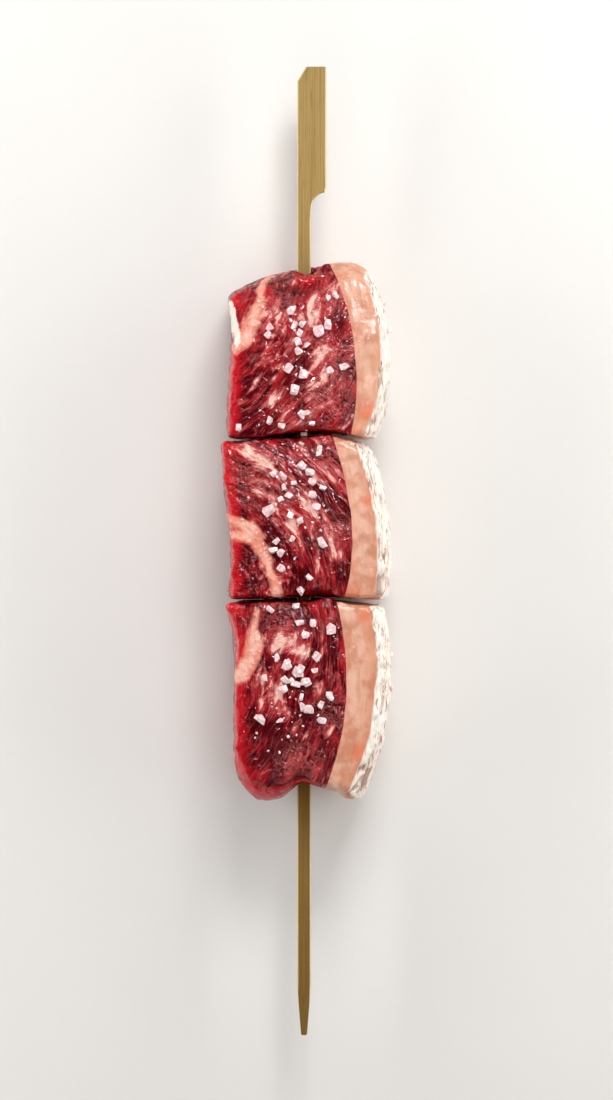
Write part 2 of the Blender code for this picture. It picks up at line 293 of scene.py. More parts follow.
STEM_WIDTH = 4.2
SEAM_TERMS = [(0, 0), (1, 0), (2, 0), (3, 0), (0, 1), (1, 1), (0, 2)]  # powers of along and up
SEAM_WANDER = 0.25
SEAM_GROOVE = 0.15
SEAM_DRIFT = 0.18  # how far the inner seams lean over for each millimetre down
SILVER_AND_RIM_LIGHT_FADE = 0.12  # how much thinner the silverskin, and its painted rim light, is for each millimetre down
GRAIN_SWAY_SIZE = 11
GRAIN_SWAY = 1.9
FLECK_DEPTH = 7
FLECK_STRENGTH = 1.4
SHADE_STRENGTH = 0.9  # how much marbling the darker patches lose
BLOOM_AND_RIM_LIGHT_WIDTH = (1.0, 8.0)  # the bright left edge, partly own red and partly painted rim light, starts to fade here, and is gone here
BLOOM_AND_RIM_LIGHT_DEPTH = (3, 12)  # the same, down the sides
END_BLOOM_AND_RIM_LIGHT = 9  # how much deeper the side towards the point is bright
BLOOM_AND_RIM_LIGHT_LOSS = 0.8  # how much of the brightness is gone below that: painted shade lower down the sides
# how bright the patches are: partly the meat's own red, partly painted light
PATCH_BLOOM_AND_LIGHT = 0.7
BUNDLE_RELIEF = 0.65
FIBRE_RELIEF = 0.16
CRINKLE_RELIEF = 0.42
FAT_RELIEF = 0.22  # how far inner fat stands proud of the lean
WRINKLE_RELIEF = 0.40
THREAD_RELIEF = 0.22
CLOD_RELIEF = 0.45
LUMPS = 0.40  # slow unevenness of a whole block
KNOBS = 0.20  # quicker unevenness
RAGGED_EDGE = 0.85  # unevenness of the edges round the face
PULL_RAMP = 3  # over how much height a pull sets in


class Block:
    """A block's place and its seam, read from the CAD, and the fields that its cut fills it with.
    Places are arrays of points in millimetres."""

    def __init__(self, number, cut):
        self.number = number
        self.cut = cut
        self.lean = frame["nodes"][f"lean_{number}"]
        self.fat = frame["nodes"][f"fat_cap_{number}"]
        low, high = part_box(self.lean.name)
        self.low = np.array(low) / MM
        self.size = np.array(high - low) / MM
        self.seam_terms = self.fit_seam()

    def place(self, across, along, up=1):
        return self.low + self.size * (across, along, up)

    def stroke(self, points):
        return [np.array([*self.place(x, y)[:2], half]) for x, y, half in points]

    def terms(self, places):
        """The powers that the seam's curve is made of, at each place."""
        along = (places[:, 1] - self.low[1]) / self.size[1]
        up = (places[:, 2] - self.low[2]) / self.size[2]
        return np.column_stack([along**p * up**q for p, q in SEAM_TERMS])

    def fit_seam(self):
        """The smooth surface closest to the lean's face under the fat."""
        mesh = self.lean.data
        places = points_of(mesh) / MM
        facing = normals_of(mesh)
        near = (facing[:, 0] > 0.75) & (places[:, 0] > self.low[0] + self.size[0] * 0.6)
        face = places[near]
        return np.linalg.lstsq(self.terms(face), face[:, 0], rcond=None)[0]

    def seam(self, places):
        """Where across the seam lies, for each place."""
        wander = noise(places * (0, 1, 1), (1, 7, 12), 40 + self.number)
        return self.terms(places) @ self.seam_terms + SEAM_WANDER * wander

    def grain(self, places):
        """Each place in the meat's own directions: across its fibres, along them, and down through them."""
        swayed = sway(places, GRAIN_SWAY_SIZE, GRAIN_SWAY, 10 * self.number)
        centre = self.place(*self.cut.fibre_centre)
        away = (swayed - centre)[:, :2]
        reach = np.linalg.norm(away, axis=1)
        turn = np.arctan2(away[:, 1], away[:, 0])
        middle = np.linalg.norm((self.place(0.5, 0.5) - centre)[:2])
        return np.column_stack([reach, turn * middle, swayed[:, 2]])

    def down(self, places):
        """How far each place is below the top of the face."""
        return self.low[2] + self.size[2] - places[:, 2]

    def depth_in(self, places, strokes, drift):
        """How deep a place is in wavering strokes, which lean to the right and towards the handle by the
        drift for each millimetre down."""
        shift = -self.down(places)[:, None] * drift
        swayed = sway(places, 6, 1.1, 60 + self.number) + sway(places, 2.2, 0.45, 66 + self.number) - places
        return depth_in_strokes(swayed[:, :2] + shift, [self.stroke(points) for points in strokes])

    def gristle(self, places):
        """How deep a place is in a seam of fat inside the lean."""
        return self.depth_in(places, self.cut.seams, SEAM_DRIFT)

    def rim(self, places):
        """How deep a place is in the silverskin down the left side, whose white is partly its own colour and
        partly painted rim light.
        """
        return self.depth_in(places, self.cut.rims, 0) - SILVER_AND_RIM_LIGHT_FADE * self.down(places)

    def marbling(self, places, grain):
        """How much fat lies between the fibres: 1 in the middle of a fleck, about 0 between them."""
        field = 0.35 * noise(grain, (7, 16, 9), 80 + self.number)
        for across, along, length, width in self.cut.flecks:
            middle = self.grain(self.place(across, along)[None, :])
            swollen = (grain - middle) / (width * 0.95, length * 0.7, FLECK_DEPTH)
            field += FLECK_STRENGTH * np.exp(-(swollen**2).sum(axis=1))
        # the darker patches, partly the meat's own tone and partly painted shade, lose marbling
        return field - SHADE_STRENGTH * self.patches(places, self.cut.shades)

    def patches(self, places, spots):
        """1 in the middle of any of these round patches of the face."""
        return sum(bump_at(places, self.place(across, along), radius) for across, along, radius in spots)

    def blush(self, places, facing):
        """1 where the lean is painted bright red: along its left edge, round the tops of its sides and, less
        so, in patches. The red is partly the meat's own and partly painted rim light, and painted shade
        fades it lower down the sides."""
        rows = np.arange(self.low[1] - 2, self.low[1] + self.size[1] + 3)
        front = places[places[:, 2] > self.size[2] * 0.5]
        row_of = np.clip(np.digitize(front[:, 1], rows), 0, len(rows) - 1)
        left = np.full(len(rows), np.inf)
        np.minimum.at(left, row_of, front[:, 0])
        known = np.isfinite(left)
        edge = np.interp(places[:, 1], rows[known], left[known])
        inset = places[:, 0] - edge + 1.3 * noise(places, 5, 30)
        side = 1 - smooth_step(facing[:, 2], 0.1, 0.8)
        side *= 1 - 0.6 * smooth_step(facing[:, 1], 0.2, 0.7)
        thin = np.maximum(1 - smooth_step(inset, *BLOOM_AND_RIM_LIGHT_WIDTH), side)
        down = self.down(places) - END_BLOOM_AND_RIM_LIGHT * smooth_step(-facing[:, 1], 0.2, 0.7)
        thin *= 1 - BLOOM_AND_RIM_LIGHT_LOSS * smooth_step(down + 2.5 * noise(places, 6, 35), *BLOOM_AND_RIM_LIGHT_DEPTH)
        return np.maximum(thin, PATCH_BLOOM_AND_LIGHT * self.patches(places, self.cut.bloom_and_lit_patches))

    def lean_relief(self, places):
        """How far the lean's skin stands out: bundles of fibres, short folds across them, and fat that
        stands a little proud."""
        grain = self.grain(places)
        bundles = ridged(noise(grain, (3.0, 14, 8), 100 + self.number))
        fibres = noise(grain, (1.1, 6, 4), 110 + self.number)
        crinkles = ridged(noise(grain, (4.0, 1.7, 3), 120 + self.number))
        crinkled = self.patches(places, self.cut.crinkles)
        fat = smooth_step(self.gristle(places), -0.3, 0.8)
        meat = BUNDLE_RELIEF * bundles + FIBRE_RELIEF * fibres + CRINKLE_RELIEF * crinkles * crinkled
        return meat * (1 - 0.75 * fat) + FAT_RELIEF * fat

    def skin(self, places, facing):
        """1 on the fat's outer membrane, 0 on its cut faces."""
        ragged = 0.16 * noise(places, (2, 6, 1.5), 130 + self.number)
        return smooth_step(facing[:, 0] + ragged - self.cut.skin_turn, 0, 0.18)

    def fat_relief(self, places, facing):
        """How far the fat stands out: soft waves on its cut faces, wrinkles along its membrane."""
        skin = self.skin(places, facing)
        waves = 0.16 * noise(places, (2.4, 13, 6), 140) + 0.07 * noise(places, (1.4, 2.6, 2), 141)
        folds = 1 - 2 * np.abs(noise(places, (2.5, 9, 1.5), 142 + self.number))
        threads = noise(places, (1.2, 4.5, 0.8), 145 + self.number)
        clods = noise(places, (4, 5, 4), 150 + self.number)
        wrinkles = WRINKLE_RELIEF * folds + THREAD_RELIEF * threads + CLOD_RELIEF * clods
        return waves * (1 - skin) + wrinkles * skin

    def relief(self, places, facing):
        """How far each point of the fused block moves out along its normal."""
        past_seam = places[:, 0] - self.seam(places)
        on_fat = smooth_step(past_seam, -0.3, 0.3)
        fine = self.lean_relief(places) * (1 - on_fat) + self.fat_relief(places, facing) * on_fat
        lumps = LUMPS * noise(places, 11, 160 + self.number) + KNOBS * noise(places, 5, 170 + self.number)
        rim = smooth_step(facing[:, 2], 0.05, 0.4) * (1 - smooth_step(facing[:, 2], 0.80, 0.99))
        ragged = RAGGED_EDGE * noise(places, 3.4, 180 + self.number) + 0.35 * noise(places, 1.6, 181)
        groove = SEAM_GROOVE * np.exp(-((past_seam / 0.7) ** 2)) * smooth_step(facing[:, 2], 0, 0.5)
        out = lumps + fine + rim * ragged - groove
        for across, along, up, radius, reach in self.cut.dents:
            out += reach * bump_at(places, self.place(across, along, up), radius)
        return out * self.freedom(places)

    def pull(self, places):
        """How far each place moves along the skewer, the walls of its tunnel included."""
        total = np.zeros(len(places))
        for across, along, up, radius, reach in self.cut.pulls:
            middle = self.place(across, along, up)
            near = bump_at(places[:, :2], middle[:2], radius)
            total += reach * near * smooth_step(places[:, 2] - middle[2], 0, PULL_RAMP)
        return total

    def freedom(self, places):
        """0 at the ground and at the walls of the skewer's tunnel, which keep their shape, and 1
        elsewhere."""
        low, high = (np.array(corner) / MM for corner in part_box("bamboo_skewer"))
        half = np.array([STEM_WIDTH / 2, (high[2] - low[2]) / 2])
        stem = low[[0, 2]] + half
        beyond = np.maximum(np.abs(places[:, [0, 2]] - stem) - half, 0)
        from_stem = smooth_step(np.linalg.norm(beyond, axis=1), 0.5, 1.6)
        return from_stem * smooth_step(places[:, 2], 0, 2.5)


# --- meshes ------------------------------------------------------------------------------------------


def points_of(mesh):
    """The mesh's points as an array, in the scene's metres."""
    flat = np.empty(len(mesh.vertices) * 3)
    mesh.vertices.foreach_get("co", flat)
    return flat.reshape(-1, 3)


def normals_of(mesh):
    flat = np.empty(len(mesh.vertices) * 3, np.float32)
    mesh.vertex_normals.foreach_get("vector", flat)
    return flat.reshape(-1, 3).astype(float)


def set_points(mesh, places):
    mesh.vertices.foreach_set("co", np.asarray(places, np.float32).ravel())
    mesh.update()


def write_field(mesh, name, values):
    """Stores numbers or vectors at the mesh's points, where a finish reads them."""
    kind, key = ("FLOAT_VECTOR", "vector") if values.ndim == 2 else ("FLOAT", "value")
    field = mesh.attributes.new(name, kind, "POINT")
    field.data.foreach_set(key, np.asarray(values, np.float32).ravel())


def read_field(mesh, name):
    flat = np.empty(len(mesh.vertices) * 3, np.float32)
    mesh.attributes[name].data.foreach_get("vector", flat)
    return flat.reshape(-1, 3).astype(float)


def add_object(name, mesh, finish=None):
    obj = bpy.data.objects.new(name, mesh)
    bpy.context.scene.collection.objects.link(obj)
    if finish:
        mesh.materials.clear()
        mesh.materials.append(finish)
    return obj


def evaluated_mesh(obj):
    """The object's mesh with its modifiers applied; the object itself is removed."""
    bpy.context.view_layer.update()
    graph = bpy.context.evaluated_depsgraph_get()
    mesh = bpy.data.meshes.new_from_object(obj.evaluated_get(graph))
    bpy.data.objects.remove(obj)
    return mesh


def fused_mesh(block, settings):
    """The lean and the fat of one block as a single finely meshed body."""
    shape = bmesh.new()
    for node, reach in ((block.lean, 0), (block.fat, settings.fuse_reach)):
        part = bmesh.new()
        part.from_mesh(node.data)
        bmesh.ops.remove_doubles(part, verts=part.verts, dist=0.001 * MM)
        part.normal_update()
        for vertex in part.verts:
            vertex.co.x += reach * min(vertex.normal.x, 0)
        joined = bpy.data.meshes.new("part")
        part.to_mesh(joined)
        part.free()
        shape.from_mesh(joined)
    mesh = bpy.data.meshes.new("fused")
    shape.to_mesh(mesh)
    shape.free()
    body = add_object("fused", mesh)
    remesh = body.modifiers.new("Even mesh", "REMESH")
    remesh.mode = "VOXEL"
    remesh.voxel_size = settings.mesh_size
    smooth = body.modifiers.new("Soft", "SMOOTH")
    smooth.factor = 0.5
    smooth.iterations = 10
    return evaluated_mesh(body)


def parted(mesh, block, side):
    """One side of the seam as its own closed mesh: -1 keeps the lean, 1 the fat. The seam is laid flat
    for the cut, and the copy is in millimetres until it is set back."""
    half = mesh.copy()
    places = points_of(half) / MM
    places[:, 0] -= block.seam(places)
    set_points(half, places)
    shape = bmesh.new()
    shape.from_mesh(half)
    everything = [*shape.verts, *shape.edges, *shape.faces]
    cut = bmesh.ops.bisect_plane(
        shape, geom=everything, plane_co=(0, 0, 0), plane_no=(side, 0, 0), clear_inner=True
    )
    rim = [item for item in cut["geom_cut"] if isinstance(item, bmesh.types.BMEdge)]
    wall = bmesh.ops.edgeloop_fill(shape, edges=rim)["faces"]
    bmesh.ops.triangulate(shape, faces=wall)
    bmesh.ops.recalc_face_normals(shape, faces=shape.faces)
    shape.to_mesh(half)
    shape.free()
    places = points_of(half)
    places[:, 0] += block.seam(places)
    set_points(half, places * MM)
    half.shade_smooth()
    return half


# --- finishes ----------------------------------------------------------------------------------------


class Value:
    """A socket of a finish that varies over the surface. Python's operators on it add Math nodes."""

    def __init__(self, finish, socket):
        self.finish = finish
        self.socket = socket

    def math(self, operation, *values):
        return self.finish.add("ShaderNodeMath", {"operation": operation}, dict(enumerate(values)))

    def __add__(self, other):
        return self.math("ADD", self, other)

    def __sub__(self, other):
        return self.math("SUBTRACT", self, other)

    def __rsub__(self, other):
        return self.math("SUBTRACT", other, self)

    def __mul__(self, other):
        return self.math("MULTIPLY", self, other)

    def __abs__(self):
        return self.math("ABSOLUTE", self)

    def at_most(self, highest):
        return self.math("MINIMUM", self, highest)

    __radd__ = __add__
    __rmul__ = __mul__


class Finish:
    """Builds one material. Its surface is a Principled BSDF."""

    def __init__(self, name):
        self.material = bpy.data.materials.new(name)
        self.material.use_nodes = True
        self.tree = self.material.node_tree
        self.surface = self.tree.nodes["Principled BSDF"]

    def add(self, kind, settings=None, inputs=None, output=0):
        """Adds a node: its settings are set first, then its sockets are given values or links."""
        node = self.tree.nodes.new(kind)
        for key, value in (settings or {}).items():
            setattr(node, key, value)
        for key, value in (inputs or {}).items():
            self.feed(node.inputs[key], value)
        return Value(self, node.outputs[output])

    def feed(self, socket, value):
        if isinstance(value, Value):
            self.tree.links.new(value.socket, socket)
        else:
            socket.default_value = (*value, 1) if socket.type == "RGBA" and len(value) == 3 else value

    def set(self, **values):
        """Sets the surface's sockets; SubsurfaceWeight stands for Subsurface Weight."""
        for key, value in values.items():
            spaced = "".join(" " + letter if letter.isupper() else letter for letter in key).strip()
            self.feed(self.surface.inputs[spaced.replace("I O R", "IOR")], value)

    def place(self):
        """Where a point of the surface is on its object, in millimetres."""
        metres = self.add("ShaderNodeTexCoord", output="Object")
        return self.stretched(metres, (1 / MM,) * 3)

    def stretched(self, vector, scales):
        return self.add("ShaderNodeVectorMath", {"operation": "MULTIPLY"}, {0: vector, 1: scales})

    def field(self, name):
        return self.add("ShaderNodeAttribute", {"attribute_name": name}, output="Fac")

    def direction(self, name):
        return self.add("ShaderNodeAttribute", {"attribute_name": name}, output="Vector")

    def part(self, vector, axis):
        return self.add("ShaderNodeSeparateXYZ", {}, {0: vector}, output=axis)

    def noise(self, vector, sizes, detail=2.0, roughness=0.5, distortion=0.0):
        """Noise from 0 to 1 with lumps of these sizes, in millimetres."""
        inputs = {
            "Vector": self.stretched(vector, [1 / size for size in sizes]),
            "Scale": 1,
            "Detail": detail,
            "Roughness": roughness,
            "Distortion": distortion,
        }
        return self.add("ShaderNodeTexNoise", {}, inputs)

    def step(self, value, low, high, start=0.0, end=1.0):
        """Runs smoothly from start to end as the value goes from low to high."""
        inputs = {"Value": value, "From Min": low, "From Max": high, "To Min": start, "To Max": end}
        return self.add("ShaderNodeMapRange", {"interpolation_type": "SMOOTHSTEP"}, inputs)

    def blend(self, share, first, second):
        """Mixes two colours: a share of 0 gives the first, and 1 the second."""
        inputs = {0: share, 6: first, 7: second}
        return self.add("ShaderNodeMix", {"data_type": "RGBA"}, inputs, output=2)

    def coat(self, under, value, low, high, share, colour):
        """Lays this share of a colour over the one under it where the value goes from low to high."""
        return self.blend(self.step(value, low, high) * share, under, colour)

    def bump(self, height, distance, strength=1.0):
        inputs = {"Height": height, "Distance": distance * MM, "Strength": strength}
        return self.add("ShaderNodeBump", {}, inputs)


def lean_finish(look):
    """Raw lean: dark fibres with paler strands, flecks of fat, pale inner seams, bright red edges and
    silverskin, all of it wet. The bright edges and the silverskin are partly their own colour and partly
    painted rim light, the walls facing left get painted rim light, raised parts and fold ridges a painted
    highlight, and hollows painted shade."""
    finish = Finish("raw lean beef")
    place = finish.place()
    grain = finish.direction("grain")
    strands = finish.noise(grain, (0.55, 3.6, 2.2), detail=3, roughness=0.55, distortion=0.25)
    bundles = finish.noise(grain, (2.2, 8.0, 5.0), detail=3, roughness=0.5, distortion=0.25)
    web = finish.noise(grain, (1.7, 4.4, 3.0), detail=5, roughness=0.58, distortion=0.45)
    net = finish.noise(grain, (2.1, 1.4, 1.6), detail=2, distortion=0.4)
    clouds = finish.noise(place, (7, 7, 7), detail=3)
    marbling = finish.field("marbling")
    crinkled = finish.field("crinkled")
    blush = finish.field("blush")
    depth = bundles + (clouds - 0.5) * 0.8 + marbling * 0.12 + (strands - 0.5) * 0.35
    red = finish.blend(finish.step(depth, 0.34, 0.66), look.deep_red_and_shade, look.lean_red)
    red = finish.coat(red, strands, 0.50, 0.80, 0.40, look.strand_and_highlight_pink)
    relief = finish.field("relief")
    # bright red edges and patches: partly the meat's own red, partly painted rim light
    red = finish.coat(red, blush + (bundles - 0.5) * 0.6, 0.25, 1.0, 0.85, look.bloom_and_rim_lit_red)
    fatness = web + marbling * 0.15 + (clouds - 0.5) * 0.30 + (strands - 0.5) * 0.10 - blush * 0.12
    colour = finish.coat(red, fatness, 0.47, 0.66, 0.62, look.strand_and_highlight_pink)
    colour = finish.coat(colour, fatness, 0.60, 0.76, 0.88, look.fleck_cream)
    # painted highlight: raised parts turn paler pink
    colour = finish.coat(colour, relief - blush * 2, 0.4, 1.4, 0.35, look.strand_and_highlight_pink)
    # painted shade: hollows turn deep red
    colour = finish.coat(colour, relief, -0.5, -2.2, 0.85, look.deep_red_and_shade)
    # pale fold ridges where the lean is crinkled: partly paler tissue, partly painted sheen
    folds = finish.step(abs(net * 2 - 1), 0.34, 0.0)
    colour = finish.blend(folds * crinkled.at_most(1) * 0.30, colour, look.strand_and_highlight_pink)
    inside = finish.field("gristle") + (web - 0.5) * 2.0 + (strands - 0.5) * 0.8 + (clouds - 0.5) * 1.2
    seam = finish.step(inside, -0.90, 0.65)
    pale = finish.step(inside + (clouds - 0.5) * 4, 0.2, 1.8)
    seam_tone = finish.blend(pale, look.seam_peach, look.seam_pale)
    colour = finish.blend(seam * 0.90, colour, seam_tone)
    # painted rim light: bright walls facing left turn paler pink
    outward = finish.part(finish.direction("facing"), "X")
    colour = finish.blend(finish.step(outward, -0.80, -1.0) * blush * 0.40, colour, look.strand_and_highlight_pink)
    # silverskin: white partly as its own colour, partly as painted rim light
    silver_and_rim_light = finish.field("rim") + (web - 0.5) * 2.4 + (strands - 0.5) * 0.8
    colour = finish.coat(colour, silver_and_rim_light, -0.35, 0.35, 0.96, look.skin_white)
    wet = finish.step(finish.noise(place, (3, 3, 3), detail=3), 0.35, 0.65)
    flesh = finish.noise(grain, (1.5, 2.2, 1.8), detail=1, distortion=0.6)
    height = strands * 0.14 + bundles * 0.6 + flesh * 1.9 + folds * crinkled * 0.7
    finish.set(
        BaseColor=colour,
        Roughness=0.13 + wet * 0.12 + seam * 0.05,
        Normal=finish.bump(height, 0.36, 1.0),
        SubsurfaceWeight=0.20,
        SubsurfaceRadius=(1.0, 0.20, 0.15),
        SubsurfaceScale=0.8 * MM,
        SpecularIORLevel=0.17,
        IOR=1.42,
    )
    return finish.material


def fat_finish(look):
    """Raw fat: peach cut faces with faint bands along the seam and a few orange patches, and a white,
    tan-streaked membrane with painted shade in its creases."""
    finish = Finish("raw beef fat")
    place = finish.place()
    band = finish.direction("grain")
    skin = finish.field("skin")
    relief = finish.field("relief")
    bands = finish.noise(band, (1.8, 16.0, 8.0), detail=3, distortion=0.3)
    clouds = finish.noise(place, (6, 6, 6), detail=4)
    blotches = finish.noise(place, (2.6, 4.0, 2.6), detail=4, roughness=0.6)
    grit = finish.noise(place, (0.7, 0.7, 0.7), detail=3, roughness=0.6)
    threads = finish.noise(place, (1.1, 7.5, 1.0), detail=5, roughness=0.66, distortion=0.9)
    from_seam = finish.part(band, "X")
    cut = finish.blend(finish.step(clouds, 0.38, 0.62), look.fat_peach, look.fat_cream)
    cut = finish.coat(cut, blotches, 0.50, 0.68, 0.45, look.fat_cream)
    cut = finish.coat(cut, from_seam + (clouds - 0.5) * 14, 4, 11, 0.60, look.fat_warm)
    cut = finish.coat(cut, from_seam + (blotches - 0.5) * 3, 1.6, 0.0, 0.45, look.seam_peach)
    cut = finish.coat(cut, bands, 0.50, 0.68, 0.40, look.fat_warm)
    cut = finish.coat(cut, grit, 0.62, 0.74, 0.40, look.fat_warm)
    warm = finish.field("warm") + (blotches - 0.5) * 1.2
    cut = finish.coat(cut, warm, 0.10, 1.1, 0.60, look.fat_orange)
    streaks = finish.step(threads + (clouds - 0.5) * 0.30, 0.50, 0.66)
    membrane = finish.blend(streaks * 0.85, look.skin_white, look.skin_tan_and_crease_shade)
    # painted shade: hollows of the membrane turn tan
    membrane = finish.coat(membrane, relief, 0.0, -0.50, 0.65, look.skin_tan_and_crease_shade)
    colour = finish.blend(skin, cut, membrane)
    height = bands * 0.5 + blotches * 1.0 + grit * 0.2 + threads * skin * 1.2
    finish.set(
        BaseColor=colour,
        Roughness=0.24 + skin * 0.20 + grit * 0.12,
        Normal=finish.bump(height, 0.30, 0.9),
        SubsurfaceWeight=0.25,
        SubsurfaceRadius=(1.0, 0.45, 0.28),
        SubsurfaceScale=1.6 * MM,
        SpecularIORLevel=0.30,
        IOR=1.44,
    )
    return finish.material


def bamboo_finish(look):
    """Split bamboo: straight fibres the length of the skewer, brown vessels, and a painted highlight on its
    edges and sides. It is darker towards the point, partly its own colour and partly painted shade."""
    finish = Finish("bamboo")
    place = finish.place()
    fibres = finish.noise(place, (0.35, 45.0, 0.35), detail=4, roughness=0.6)
    bands = finish.noise(place, (1.3, 90.0, 1.3), detail=2)
    vessels = finish.noise(place, (0.22, 9.0, 0.22), detail=1)
    along = finish.part(place, "Y")
    aside = finish.part(finish.add("ShaderNodeNewGeometry", output="Normal"), "X")
    # painted highlight: sides facing left and right are paler, as if lit from the sides
    side = finish.step(abs(aside), 0.35, 0.85)
    wood = finish.blend(finish.step(fibres, 0.30, 0.70), look.bamboo_dark, look.bamboo_light)
    wood = finish.coat(wood, bands, 0.45, 0.70, 0.5, look.bamboo_light)
    wood = finish.coat(wood, vessels, 0.60, 0.72, 0.45, look.bamboo_brown_and_shade)
    # darker towards the point: partly the wood's own colour, partly painted shade
    darker = finish.step(along, -150.0, 110.0, 0.72, 0.0)
    wood = finish.blend(darker, wood, look.bamboo_brown_and_shade)
    wood = finish.blend(side * 0.75, wood, look.bamboo_side_highlight)
    height = fibres * 0.6 + vessels * 0.4
    finish.set(
        BaseColor=wood,
        Roughness=0.50 + fibres * 0.15,
        Normal=finish.bump(height, 0.12, 0.8),
        SpecularIORLevel=0.15,
    )
    return finish.material


def salt_finish(look):
    """Rock salt: cloudy, half clear crystals with whiter veins and a faint painted glow."""
    finish = Finish("rock salt")
    place = finish.place()
    veins = finish.noise(place, (1.1, 1.1, 1.1), detail=4, roughness=0.65)
    frost = finish.noise(place, (0.25, 0.25, 0.25), detail=2)
    finish.set(
        BaseColor=finish.blend(finish.step(veins, 0.35, 0.65), look.salt_pink, look.salt_white_and_glow),
        Roughness=0.10 + frost * 0.20,
        Normal=finish.bump(frost * 0.3 + veins, 0.05, 0.5),
        TransmissionWeight=0.15,
        IOR=1.50,
        # painted glow: the crystals give off a little light of their own
        EmissionColor=look.salt_white_and_glow,
        EmissionStrength=0.07,
        SubsurfaceWeight=0.5,
        SubsurfaceRadius=(1.0, 0.9, 0.9),
        SubsurfaceScale=1.2 * MM,
    )
    return finish.material


# --- what a user can change --------------------------------------------------------------------------


def colour_property(name, description, red, green, blue):
    """A colour, given as it shows on a screen, from 0 to 255."""
    shown = [value / 255 for value in (red, green, blue)]
    linear = [v / 12.92 if v <= 0.04045 else ((v + 0.055) / 1.055) ** 2.4 for v in shown]
    return FloatVectorProperty(
        name=name, description=description, default=linear, size=3, min=0, max=1, subtype="COLOR"
    )


def length_property(name, description, length):
    return FloatProperty(
        name=name, description=description, default=length, min=0, precision=5, unit="LENGTH"
    )


def power_property(name, description, watts):
    return FloatProperty(name=name, description=description, default=watts, min=0, unit="POWER")


class KebabMeat(bpy.types.PropertyGroup):
    """How the beef is meshed and coloured."""

    mesh_size: length_property("Mesh size", "Size of the faces that the meat is modelled with", 0.4 * MM)
    fuse_reach: length_property(
        "Fuse reach", "How far the fat is pushed into the lean before they are fused", 1.5 * MM
    )
    # this dark red also paints the shade in hollows
    deep_red_and_shade: colour_property("Deep red", "Darkest bundles of fibres", 78, 0, 8)
    lean_red: colour_property("Lean red", "Most of the lean", 156, 24, 32)
    # this pink also paints highlights on raised parts, fold ridges and walls facing left
    strand_and_highlight_pink: colour_property("Strand pink", "Paler strands in the lean", 218, 112, 110)
    # bright edges: partly the meat's own red, partly painted rim light
    bloom_and_rim_lit_red: colour_property("Blush red", "Thin, bright edges of the lean", 202, 22, 34)
    fleck_cream: colour_property("Fleck cream", "Marbling flecks", 252, 206, 190)
    seam_peach: colour_property("Seam peach", "Inner seams of fat", 236, 148, 126)
    seam_pale: colour_property("Seam pale", "Paler parts of the inner seams", 246, 190, 170)
    fat_peach: colour_property("Fat peach", "Cut face of the fat cap", 204, 138, 109)
    fat_cream: colour_property("Fat cream", "Paler bands of the fat cap", 229, 182, 158)
    fat_warm: colour_property("Fat warm", "Warmer patches of the fat cap", 206, 126, 84)
    fat_orange: colour_property("Fat orange", "Small orange patches of the fat cap", 226, 104, 56)
    skin_white: colour_property("Membrane white", "Outer membrane of the fat cap", 250, 238, 226)
    # this tan also paints the shade in the membrane's creases
    skin_tan_and_crease_shade: colour_property("Membrane tan", "Wrinkles of the membrane", 142, 86, 58)


class KebabSalt(bpy.types.PropertyGroup):
    """The coarse salt."""

    seed: IntProperty(name="Seed", description="Which scatter of crystals to make", default=7, min=0)
    crumbs: IntProperty(
        name="Crumbs", description="How many tiny crystals to add to each block", default=26, min=0
    )
    # this white also gives the crystals their painted glow
    salt_white_and_glow: colour_property("Salt white", "Cloudy veins of the crystals", 255, 246, 244)
    salt_pink: colour_property("Salt pink", "Clearer parts of the crystals", 232, 174, 178)


class KebabBamboo(bpy.types.PropertyGroup):
    """The skewer's wood."""

    bamboo_light: colour_property("Light wood", "Most of the wood", 164, 135, 72)
    bamboo_dark: colour_property("Dark wood", "Darker fibres", 138, 108, 48)
    # this brown also paints the shade towards the point
    bamboo_brown_and_shade: colour_property("Brown wood", "Vessels, and the darker point", 104, 68, 8)
    # painted highlight on the skewer's sides
    bamboo_side_highlight: colour_property("Pale wood", "The skewer's sides", 252, 232, 192)


class KebabStage(bpy.types.PropertyGroup):
    """The floor, the lights and the camera."""

    floor_size: length_property("Floor size", "Side of the square floor", 6.0)
    floor_colour: colour_property("Floor", "Colour of the floor", 226, 223, 219)
    lens: FloatProperty(name="Lens", description="Focal length of the camera", default=120.0, unit="CAMERA")
    view_height: length_property(
        "View height", "How much the camera sees from top to bottom at the skewer's height", 0.341
    )
    key_power: power_property("Key light", "Power of the key light", 4.4)
    fill_power: power_property("Fill light", "Power of the fill light", 1.0)
    ceiling_power: power_property("Ceiling light", "Power of the wide light high above", 10.0)
    side_power: power_property("Side lights", "Power of each side light", 1.5)
    glint_power: power_property("Glint light", "Power of the small light that only shows as shine", 9.5)
    sky: FloatProperty(name="Sky", description="Strength of the even light from all round", default=0.10)


# --- operators ---------------------------------------------------------------------------------------


